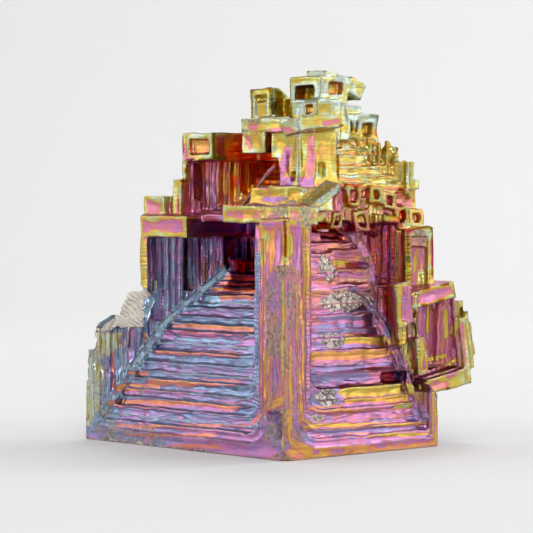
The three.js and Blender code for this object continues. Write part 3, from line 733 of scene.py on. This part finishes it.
def bare_metal(s):
    """Where the film is broken and rough metal shows, from 0 to 1, and more on a fresh break."""
    bare = np.zeros(len(s.place))
    for low, high, way, share in WORN_ZONES:
        bare[s.points_in(low, high, way)] = share
    bare += 0.2 * (1 - smooth_step(0.0, 0.25, s.lip)) * (bare > 0)
    ragged = 0.6 * cloudy(s.place, 1.6, octaves=3, seed=3.3)
    for way, low, high, bright in BARE_PATCHES:
        along, height, depth = s.flat(way)
        wide, tall = (high[0] - low[0]) / 2, (high[1] - low[1]) / 2
        off = np.hypot((along - low[0]) / wide - 1, (height - low[1]) / tall - 1)
        gap = (off - 1) * min(wide, tall)
        patch = (1 - smooth_step(-0.3, 0.2, gap + ragged)) * s.looks[way]
        bare = np.maximum(bare, bright * patch * (depth < STROKE_DEPTH))
    x, y, z = s.place.T
    end = y - x + ragged > BREAK_END + 1.6 * np.clip(BREAK_TOP - z, 0, 1.7)
    sloping = (np.abs(s.facing).max(1) < 0.97) | (s.facing[:, 2] > 0.5)
    broken = sloping & (s.within(*BREAK) > 0) & end
    return np.maximum(bare, 1.3 * broken)


def directions_all_round():
    """Even directions over a whole ball, along a spiral."""
    turn = math.pi * (3 - math.sqrt(5))
    for i in range(RAYS):
        up = 1 - (2 * i + 1) / RAYS
        flat = math.sqrt(1 - up * up)
        yield Vector((flat * math.cos(i * turn), flat * math.sin(i * turn), up))


def openness(s, source):
    """How much of its surroundings each point sees, from 0 deep in a pit to 1 on an open face."""
    body = mesh_object("coarse", source.copy())
    coarse = skinned(body, COARSE_SQUARE)
    bpy.data.objects.remove(body)
    walls = BVHTree.FromBMesh(source)
    rays = list(directions_all_round())
    seen = []
    for vertex in coarse.vertices:
        start = vertex.co + vertex.normal * 0.25
        free = total = 0.0
        for ray in rays:
            share = ray.dot(vertex.normal)
            if share > 0.1:
                total += share
                free += share * (walls.ray_cast(start, ray, SIGHT)[0] is None)
        seen.append(free / total)
    seen = np.array(seen)
    corners = [tuple(p.vertices) for p in coarse.polygons]
    spots = np.array([tuple(v.co) for v in coarse.vertices])
    tree = BVHTree.FromPolygons(spots.tolist(), corners)
    corners = np.array([(c * 2)[:4] for c in corners])
    near = corners[[tree.find_nearest(p)[2] for p in s.place.tolist()]]
    gap = np.linalg.norm(spots[near] - s.place[:, None], axis=2)
    weight = 1 / (gap + 0.1) ** 2
    bpy.data.meshes.remove(coarse)
    return (seen[near] * weight).sum(1) / weight.sum(1)


def film_thickness(s, strokes):
    """How thick the oxide film is (0 to 1), where it is a clean stroke, and where the corner ridges are."""
    film = np.full(len(s.place), 0.5)
    drift = cloudy(s.place, 5, octaves=3, seed=4.1)
    for zone in (Zone(*row) for row in ZONES):
        points = s.points_in(zone.low, zone.high, zone.way, zone.ragged)
        depth = smooth_step(LIP_BORDER * zone.width, zone.width, s.lip + 0.5 * drift)
        value = zone.at_lip + (zone.inside - zone.at_lip) * depth
        value += zone.spread * (s.chance[:, 0] - 0.5) * 2 * depth
        film[points] = value[points]
    ridge = np.full(len(s.place), False)
    for points, half, value in CORNER_RIDGES:
        near = distance_to(s.place, list(zip(points, points[1:]))) < 2.0 * half
        film[near] = value + 0.1 * (s.chance[near, 1] - 0.5)
        ridge |= near
    clean = np.zeros(len(s.place))
    for near, inside, value, _ in strokes:
        film[near] += (value - film[near]) * inside
        clean[near] = np.maximum(clean[near], inside)
    mottle = cloudy(s.place, 1.7, octaves=3, seed=8.8)
    return film + 0.03 * drift + (0.12 - 0.08 * clean) * mottle, clean, ridge


def growth_lines(s):
    """The growth lines, level ledges or upright flutes, a little uneven.

    Gives their depth, where they are upright, the swing they give the film, and how strongly a face is lined.
    """
    depth = np.zeros(len(s.place))
    upright = np.zeros(len(s.place))
    swing = np.zeros(len(s.place))
    lined = np.full(len(s.place), 0.15)
    sideways = np.where(np.abs(s.facing[:, 0]) > 0.5, s.place[:, 1], s.place[:, 0])
    for low, high, way, run, spacing, amount, colour in GRAINS:
        zone = s.points_in(low, high, way)
        level = run == "level"
        across = s.place[:, 2] if level else sideways
        stretch = (4, 4, 0.8) if level else (0.8, 0.8, 6)
        waver = cloudy(s.place, 2.0, stretch=stretch, octaves=2, seed=spacing)
        turn = across / spacing + 1.1 * waver
        wave = turn - np.floor(turn)
        ridge = np.minimum(wave / 0.65, (1 - wave) / 0.35)
        strength = np.clip(0.6 + 1.2 * waver, 0, 1.3)
        value = amount * ridge * strength * smooth_step(0.1, 0.45, s.lip)
        band = 0.5 * np.sin(math.tau * turn) + 0.5 * np.sin(math.tau * turn * 0.37)
        depth[zone] = value[zone]
        swing[zone] = (colour * band)[zone]
        upright[zone] = not level
        lined[zone] = 1.0
    return depth, upright, swing, lined


def relief(s, strokes):
    """How far the surface lies below the CAD facets: terraces that go down from the lips, lenses and wear."""
    first, width, height, most = 0.22, 0.42, 0.075, 3
    waver = cloudy(s.place, 2.6, octaves=2, seed=9.7)
    level = np.clip((np.minimum(s.lip, s.crease) + 0.16 * waver - first) / width, 0, most)
    terraces = height * (np.floor(level) + smooth_step(0.1, 0.7, level - np.floor(level)))
    wear = np.clip(cloudy(s.place, 4.5, octaves=2, seed=2.2) - 0.12, 0, 1)
    crumbled = 1 + 2.0 * s.within((-1, 41, 11), (6, 50, 26), 1.0)
    worn = 0.5 * crumbled * wear * (1 - smooth_step(0, 0.5 * crumbled, s.lip))
    proud = np.zeros(len(s.place))
    for near, inside, _, stands in strokes:
        proud[near] = np.maximum(proud[near], stands * inside)
    return terraces + worn - proud * smooth_step(0.0, 0.3, s.lip)


def wander(s):
    """A slow drift of the whole surface, so that no ledge or rim runs quite straight."""
    amount = np.full(len(s.place), 0.17)
    for low, high, more in LOOSE_ZONES:
        amount += more * s.within(low, high, 0.6)
    slow = [cloudy(s.place, 4.0, seed=seed) for seed in (1.3, 5.9, 8.4)]
    quick = [cloudy(s.place, 1.3, seed=seed) for seed in (3.7, 7.7, 2.1)]
    drift = np.stack(slow, axis=1) + 0.22 * np.stack(quick, axis=1)
    drift[:, 2] *= smooth_step(0.0, 1.5, s.place[:, 2])
    return amount[:, None] * drift


def settled(s, terraces, holes, bare):
    """The fine surface's points: moved in by the relief, rough where they are bare, and a little adrift."""
    rough = 0.30 * np.clip(cloudy(s.place, 0.9, octaves=3, seed=7.1) + 0.2, -0.2, 1)
    x, y, z = s.place.T
    slope = np.stack([z - 1.2 * (y - x) / math.sqrt(2), 0.2 * z, 0.2 * x], axis=1)
    torn = 0.35 * np.abs(cloudy(slope, 1.5, octaves=2, seed=4.4)) + 0.25 * rough
    rough = np.where(s.within(*BREAK) > 0, torn, rough)
    rubbed = np.clip(1.6 * bare - 0.5, 0, 1)
    depth = terraces * (1 - rubbed) + rough * rubbed + holes
    inner = s.place - depth[:, None] * s.facing + wander(s)
    return np.clip(inner, 0.0, s.place.max(0))


def light_in_pits(s, source, ridge, holes):
    """Painted shade and light: how dark each point is drawn, how often its light has met the film as painted
    bounced light, and how far off its crease is.

    In pits that are lit all through, the creases count as further off, so that they aren't drawn dark.
    """
    painted_shade = 1 - smooth_step(0.12, 0.62, openness(s, source))
    deep = np.zeros(len(s.place))
    shade = painted_shade.copy()
    crease = np.where(ridge, FAR, s.crease)
    for pit in (LitPit(*row) for row in LIT_PITS):
        inside = s.within(pit.low, pit.high, 0.3)
        deep = np.maximum(deep, pit.often * inside * smooth_step(0.1, 0.5, painted_shade))
        shade += (np.maximum(pit.rest * painted_shade, pit.least) - shade) * inside
        crease += (pit.rest == 0) * inside
    shade[ridge] *= 0.35
    deep[ridge] *= 0.3
    # Painted shade in the cavities, by how deep they go
    in_hole = np.clip(holes / 0.6, 0, 1)
    return np.maximum(np.clip(shade, 0, 2), in_hole), deep, crease


def dressed_crystal():
    """The fine surface with its relief, carrying what its material reads at each point."""
    source = grown_source()
    body = mesh_object("body", source.copy())
    mesh = skinned(body, SQUARE)
    s = Surface(mesh, source)
    strokes = list(stroke_shares(s))
    holes = cavities(s)
    bare = bare_metal(s)
    grain, upright, swing, lined = growth_lines(s)
    film, clean, ridge = film_thickness(s, strokes)
    shade, deep, crease = light_in_pits(s, source, ridge, holes)
    film += swing * (1 - clean) + 0.1 * shade * (film < 0.34)
    facts = {
        "film": film,
        "lip": s.lip,
        "crease": crease,
        "bare": bare,
        "painted_shade": shade,
        "upright": upright,
        "clean": clean,
        "lined": lined,
        "deep": deep,
    }
    moved = settled(s, relief(s, strokes) + grain, holes, bare)
    mesh.vertices.foreach_set("co", moved.astype(np.float32).ravel())
    for name, values in facts.items():
        attribute = mesh.attributes.new(name, "FLOAT", "POINT")
        attribute.data.foreach_set("value", np.clip(values, 0, 5).astype(np.float32))
    bm = bmesh.new()
    bm.from_mesh(mesh)
    bmesh.ops.smooth_vert(
        bm, verts=bm.verts, factor=0.4, use_axis_x=True, use_axis_y=True, use_axis_z=True
    )
    bpy.data.objects.remove(body)
    source.free()
    return bm


def placed(bm):
    """Moves a mesh from the building frame in millimetres to its place in metres."""
    bmesh.ops.scale(bm, verts=bm.verts, vec=(MM,) * 3)
    bmesh.ops.translate(bm, verts=bm.verts, vec=NEAR_EDGE)
    return bm


class Nodes:
    """Adds shader nodes to a material."""

    def __init__(self, material):
        material.use_nodes = True
        self.tree = material.node_tree
        self.tree.nodes.clear()

    def add(self, kind, settings=None, **inputs):
        """Adds a node, with its settings and the values or links of its sockets."""
        node = self.tree.nodes.new("ShaderNode" + kind)
        for key, value in (settings or {}).items():
            if key == "stops":
                self.stops(node.color_ramp, value)
            else:
                setattr(node, key, value)
        for key, value in inputs.items():
            self.feed(node.inputs[key.replace("_", " ")], value)
        return node

    def stops(self, ramp, stops):
        """Gives a colour ramp its stops."""
        while len(ramp.elements) > 1:
            ramp.elements.remove(ramp.elements[-1])
        for i, (place, colour) in enumerate(stops):
            stop = ramp.elements[0] if i == 0 else ramp.elements.new(place)
            stop.position = place
            stop.color = linear(colour)

    def feed(self, socket, value):
        """Links a socket to a value, or sets it."""
        if isinstance(value, Value):
            self.tree.links.new(value.socket, socket)
        elif isinstance(value, bpy.types.NodeSocket):
            self.tree.links.new(value, socket)
        else:
            socket.default_value = value

    def attribute(self, name):
        node = self.add("Attribute", {"attribute_name": name})
        return Value(self, node.outputs["Fac"])

    def ramp(self, value, stops):
        return self.add("ValToRGB", {"stops": stops}, Fac=value).outputs["Color"]

    def clouds(self, place, scale, detail=3.0, rough=0.55):
        inputs = {"Vector": place, "Scale": scale, "Detail": detail, "Roughness": rough}
        node = self.add("TexNoise", {"noise_dimensions": "3D"}, **inputs)
        return Value(self, node.outputs["Fac"])

    def parts(self, place):
        node = self.add("SeparateXYZ", Vector=place)
        return [Value(self, socket) for socket in node.outputs]

    def stretched(self, place, scale):
        return self.add("Mapping", Vector=place, Scale=scale).outputs[0]

    def mix(self, share, first, second):
        """Mixes two colours, each a socket or a screen colour."""
        node = self.add("Mix", {"data_type": "RGBA"})
        self.feed(node.inputs["Factor"], share)
        for socket, colour in zip((node.inputs[6], node.inputs[7]), (first, second)):
            self.feed(socket, linear(colour) if isinstance(colour, tuple) else colour)
        return node.outputs[2]


class Value:
    """A number in a shader: arithmetic on it adds Math nodes."""

    def __init__(self, nodes, socket):
        self.nodes = nodes
        self.socket = socket

    def math(self, operation, *others):
        node = self.nodes.add("Math", {"operation": operation})
        for socket, value in zip(node.inputs, (self, *others)):
            self.nodes.feed(socket, value)
        return Value(self.nodes, node.outputs[0])

    def __add__(self, other):
        return self.math("ADD", other)

    def __sub__(self, other):
        return self.math("SUBTRACT", other)

    def __mul__(self, other):
        return self.math("MULTIPLY", other)

    def __rsub__(self, other):
        return (self * -1) + other

    __radd__ = __add__
    __rmul__ = __mul__

    def off(self, middle):
        """How far the value is from a middle one."""
        return (self - middle).math("ABSOLUTE")

    def at_least(self, other):
        return self.math("MAXIMUM", other)

    def between(self, low, high):
        """0 at low, 1 at high, smooth between them."""
        node = self.nodes.add("MapRange", {"interpolation_type": "SMOOTHSTEP"})
        for name, value in (("Value", self), ("From Min", low), ("From Max", high)):
            self.nodes.feed(node.inputs[name], value)
        return Value(self.nodes, node.outputs["Result"])


def oxide():
    """Bright metal under an oxide film whose thickness sets its colour, with painted shade, painted
    highlights and painted bounced light laid over it.
    """
    material = bpy.data.materials.new("iridescent_bismuth")
    n = Nodes(material)
    place = n.add("TexCoord").outputs["Object"]
    blotches = n.clouds(place, 420, detail=6, rough=0.62)
    fine = n.clouds(place, 2400, detail=4, rough=0.6)
    grit = n.clouds(place, 1500, detail=5, rough=0.75).between(0.34, 0.62)
    bare = n.attribute("bare")
    crease = n.attribute("crease")
    clean = n.attribute("clean")
    lined = n.attribute("lined")
    open_face = (1 - clean) * lined
    lines, groove, ridge = growth_contours(n, place)

    thickness = n.attribute("film") + (blotches - 0.5) * 0.22 + (fine - 0.5) * 0.13
    # Painted bounced light: in lit pits the film takes the colours of light that has met it several times
    once, often = n.ramp(thickness, FILM_COLOURS), n.ramp(thickness, BOUNCED_LIGHT_COLOURS)
    colour = n.mix(n.attribute("deep"), once, often)

    # Painted shade in creases and in the grooves of the growth lines, and a dark outline round each stroke
    crease_shade = 1 - crease.between(0.02, 0.22)
    border = 1 - clean.off(0.45).between(0.1, 0.42)
    dark = (groove * (0.12 + open_face * 0.4)).at_least(crease_shade * 0.42).at_least(border * lined * 0.45)
    colour = n.mix(dark, colour, GROOVE_SHADE_AND_OUTLINE)
    # Painted highlight on those ridges
    colour = n.mix(ridge * open_face * 0.3, colour, RIDGE_HIGHLIGHT)
    patina = n.clouds(place, 1000, detail=5, rough=0.75).between(0.5, 0.72)
    colour = n.mix(patina * 0.3, colour, PATINA)
    rubbed = (1 - n.attribute("lip").between(0.05, 0.34)) * fine.between(0.38, 0.56)
    colour = n.mix(rubbed * 0.75, colour, RUBBED)
    # Painted shade: darker and more saturated where the surface is enclosed
    shade_darkened = n.add("Gamma", Color=colour, Gamma=1 + n.attribute("painted_shade") * 1.5)

    ragged = bare + (blotches - 0.5) * 0.6 + (fine - 0.5) * 0.7
    shown = ragged.between(0.42, 0.62)
    colour = n.mix(shown * 0.9, shade_darkened.outputs[0], bare_colour(n, place, bare, grit, blotches))

    rough = 0.25 + fine * 0.12 + shown * 0.34 + crease.between(4.5, 4.9) * 0.22
    height = lines * (0.15 + open_face * 0.6) + fine * 0.5 + shown * grit * 1.5
    bump = n.add("Bump", Strength=0.5, Distance=0.1 * MM, Height=height)
    shader = n.add(
        "BsdfPrincipled", Base_Color=colour, Metallic=1.0, Roughness=rough, Normal=bump.outputs[0]
    )
    n.add("OutputMaterial", Surface=shader.outputs[0])
    return material


def bare_colour(n, place, bare, grit, blotches):
    """Metal without its film: tan where it is worn, bright with dark wrinkles, or freshly torn."""
    wrinkle = 1 - n.clouds(place, 620, detail=3).off(0.5).between(0.0, 0.045)
    bright = n.mix(grit, BARE_METAL_SHADE, BARE_METAL)
    bright = n.mix(wrinkle * 0.85, bright, WRINKLE)
    torn = n.mix(torn_lines(n, place, blotches), TORN_METAL, TORN_METAL_SHADE)
    bright = n.mix(bare.between(1.05, 1.25) * 0.8, bright, torn)
    worn = n.mix(grit, WORN_METAL_SHADE, WORN_METAL)
    return n.mix(bare.between(0.6, 0.85), worn, bright)


def torn_lines(n, place, blotches):
    """The fine slanting lines of a fresh break, from 0 to 1."""
    x, y, z = n.parts(place)
    turn = (z * 1.6 + x - y) * 700 + blotches * 2.5
    line = 1 - turn.math("FRACT").off(0.5).between(0.04, 0.2)
    return line * n.clouds(place, 500).between(0.35, 0.6)


def growth_contours(n, place):
    """Fine growth lines, level or upright: their height, their grooves, and the ridges beside those."""
    spacing = 0.78 * MM
    upright = n.attribute("upright")
    level_warp = n.clouds(n.stretched(place, (90, 90, 420)), 1, detail=2.5)
    upright_warp = n.clouds(n.stretched(place, (420, 420, 90)), 1, detail=2.5)
    warp = level_warp + (upright_warp - level_warp) * upright
    x, y, z = n.parts(place)
    across = z + (x + y - z) * upright
    wave = (across * (1 / spacing) + warp * 5).math("FRACT")
    presence = n.clouds(place, 330, detail=3).between(0.4, 0.58)
    width = n.clouds(place, 800, detail=2) * 0.34
    off = wave.off(0.5)
    groove = (1 - (off - width * 0.4).between(0.0, 0.1)) * presence
    ridge = (1 - wave.off(0.72).between(0.02, 0.1)) * presence
    return off * 2 - groove * 0.6, groove, ridge


def level_cut(bm, height, side):
    """Removes what is above (side 1) or below (side -1) a level, and closes the cut."""
    cut = bmesh.ops.bisect_plane(
        bm,
        geom=bm.verts[:] + bm.edges[:] + bm.faces[:],
        dist=1e-7,
        plane_co=(0, 0, height),
        plane_no=(0, 0, side),
        clear_outer=True,
    )["geom_cut"]
    rim = [e for e in cut if isinstance(e, bmesh.types.BMEdge)]
    bmesh.ops.triangle_fill(bm, edges=rim, use_beauty=False, normal=(0, 0, side))


def crystal_pieces():
    """Cuts the fine surface level into slabs, each closed, so that none has too many faces."""
    whole = placed(dressed_crystal())
    material = oxide()
    for name, low, high in zip(SLABS, CUTS, CUTS[1:]):
        bm = whole.copy()
        for height, side in ((low, -1), (high, 1)):
            if height not in (CUTS[0], CUTS[-1]):
                level_cut(bm, height * MM, side)
        for face in bm.faces:
            face.smooth = True
        obj = mesh_object("crystal_" + name, bm)
        obj.data.materials.append(material)
        obj.data.set_sharp_from_angle(angle=SHARP_EDGE)
        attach(obj, "root")
        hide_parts("bismuth_crystal")
    whole.free()


LEFT_TURN = math.radians(43.3)  # the camera's heading, from +y towards +x
AHEAD = Vector((math.sin(LEFT_TURN), math.cos(LEFT_TURN), 0))
ASIDE = Vector((AHEAD.y, -AHEAD.x, 0))
EYE_HEIGHT = 38.55
EYE_DISTANCE = 356.7
PICTURE = 533  # the photograph's width and height in pixels
FOCAL_LENGTH = 2378  # in the same pixels
NEAR_EDGE_COLUMN = 285
HORIZON_ROW = 205


def camera():
    """The photograph's view: almost level, straight at the near edge."""
    data = bpy.data.cameras.new("camera")
    data.sensor_width = 36
    data.lens = FOCAL_LENGTH * data.sensor_width / PICTURE
    data.clip_start, data.clip_end = 0.01, 20
    obj = link(bpy.data.objects.new("camera", data))
    eye = Vector((0, 0, EYE_HEIGHT)) - AHEAD * EYE_DISTANCE
    obj.location = eye * MM + NEAR_EDGE
    yaw = math.atan((NEAR_EDGE_COLUMN - PICTURE / 2) / FOCAL_LENGTH)
    down = math.atan((PICTURE / 2 - HORIZON_ROW) / FOCAL_LENGTH)
    way = (AHEAD * math.cos(yaw) - ASIDE * math.sin(yaw)) * math.cos(down)
    way.z = -math.sin(down)
    obj.rotation_euler = way.to_track_quat("-Z", "Y").to_euler()
    bpy.context.scene.camera = obj


def pale_floor():
    """A floor that curves up into a wall far behind the crystal."""
    front, wall, top = -1.2, 0.70, 0.8
    curve = 0.25
    half = 1.5
    steps = 12
    line = [(front, 0)]
    for i in range(steps + 1):
        a = math.radians(90 * i / steps)
        line.append((wall - curve + curve * math.sin(a), curve - curve * math.cos(a)))
    line.append((wall, top))
    bm = bmesh.new()
    verts = [bm.verts.new(AHEAD * ahead - ASIDE * half + Vector((0, 0, up))) for ahead, up in line]
    edges = [bm.edges.new(pair) for pair in zip(verts, verts[1:])]
    bmesh.ops.extrude_edge_only(bm, edges=edges)
    far = [v for v in bm.verts if v not in verts]
    bmesh.ops.translate(bm, verts=far, vec=ASIDE * 2 * half)
    bmesh.ops.translate(bm, verts=bm.verts, vec=(0, 0, -0.00005))
    bmesh.ops.recalc_face_normals(bm, faces=bm.faces)
    for face in bm.faces:
        face.smooth = True
    floor = mesh_object("floor", bm)
    material = bpy.data.materials.new("pale_floor")
    n = Nodes(material)
    shader = n.add("BsdfPrincipled", Base_Color=(FLOOR_GREY,) * 3 + (1,), Roughness=0.9)
    n.add("OutputMaterial", Surface=shader.outputs[0])
    floor.data.materials.append(material)


def area_light(name, place, aim, size, power):
    """Adds a soft lamp that looks at a point."""
    data = bpy.data.lights.new(name, "AREA")
    data.shape = "RECTANGLE"
    data.size, data.size_y = size
    data.energy = power
    lamp = link(bpy.data.objects.new(name, data))
    lamp.location = place
    lamp.rotation_euler = (aim - place).to_track_quat("-Z", "Y").to_euler()


# Each lamp: name, how far right, ahead and up, how far ahead it is aimed, its size, its power
LAMPS = [
    ("lamp_left", -0.7, -0.12, 0.2, 0, (0.4, 0.6), 1.45),
    ("lamp_right", 0.7, -0.16, 0.2, 0, (0.4, 0.6), 1.5),
    ("lamp_far_left", -0.75, 0.45, 0.3, 0, (0.4, 0.4), 1.1),
    ("lamp_far_right", 0.75, 0.4, 0.3, 0, (0.4, 0.4), 1.1),
    ("lamp_top", 0.05, -0.35, 0.75, 0, (0.5, 0.5), 1.0),
    ("lamp_front", 0.12, -0.8, 0.3, 0, (0.2, 0.2), 2.0),
    ("lamp_back", 0.05, 0.42, 0.62, 0, (0.26, 0.26), 1.2),
    ("lamp_wall", 0.6, 0.3, 0.7, 0.7, (0.3, 0.3), 1.8),
]


def studio():
    """A pale floor, a pale sky and soft lamps."""
    pale_floor()
    world = bpy.data.worlds.new("studio")
    bpy.context.scene.world = world
    world.use_nodes = True
    sky = world.node_tree.nodes["Background"]
    sky.inputs["Color"].default_value = (1, 1, 1, 1)
    sky.inputs["Strength"].default_value = 0.40
    middle = Vector((0, 0, 0.03))
    for name, aside, ahead, up, aim, size, power in LAMPS:
        place = middle + ASIDE * aside + AHEAD * ahead + Vector((0, 0, up))
        area_light(name, place, middle + (AHEAD + 0.5 * ASIDE) * aim, size, power)
    bpy.context.scene.view_settings.view_transform = "Standard"


camera()
studio()
crystal_pieces()
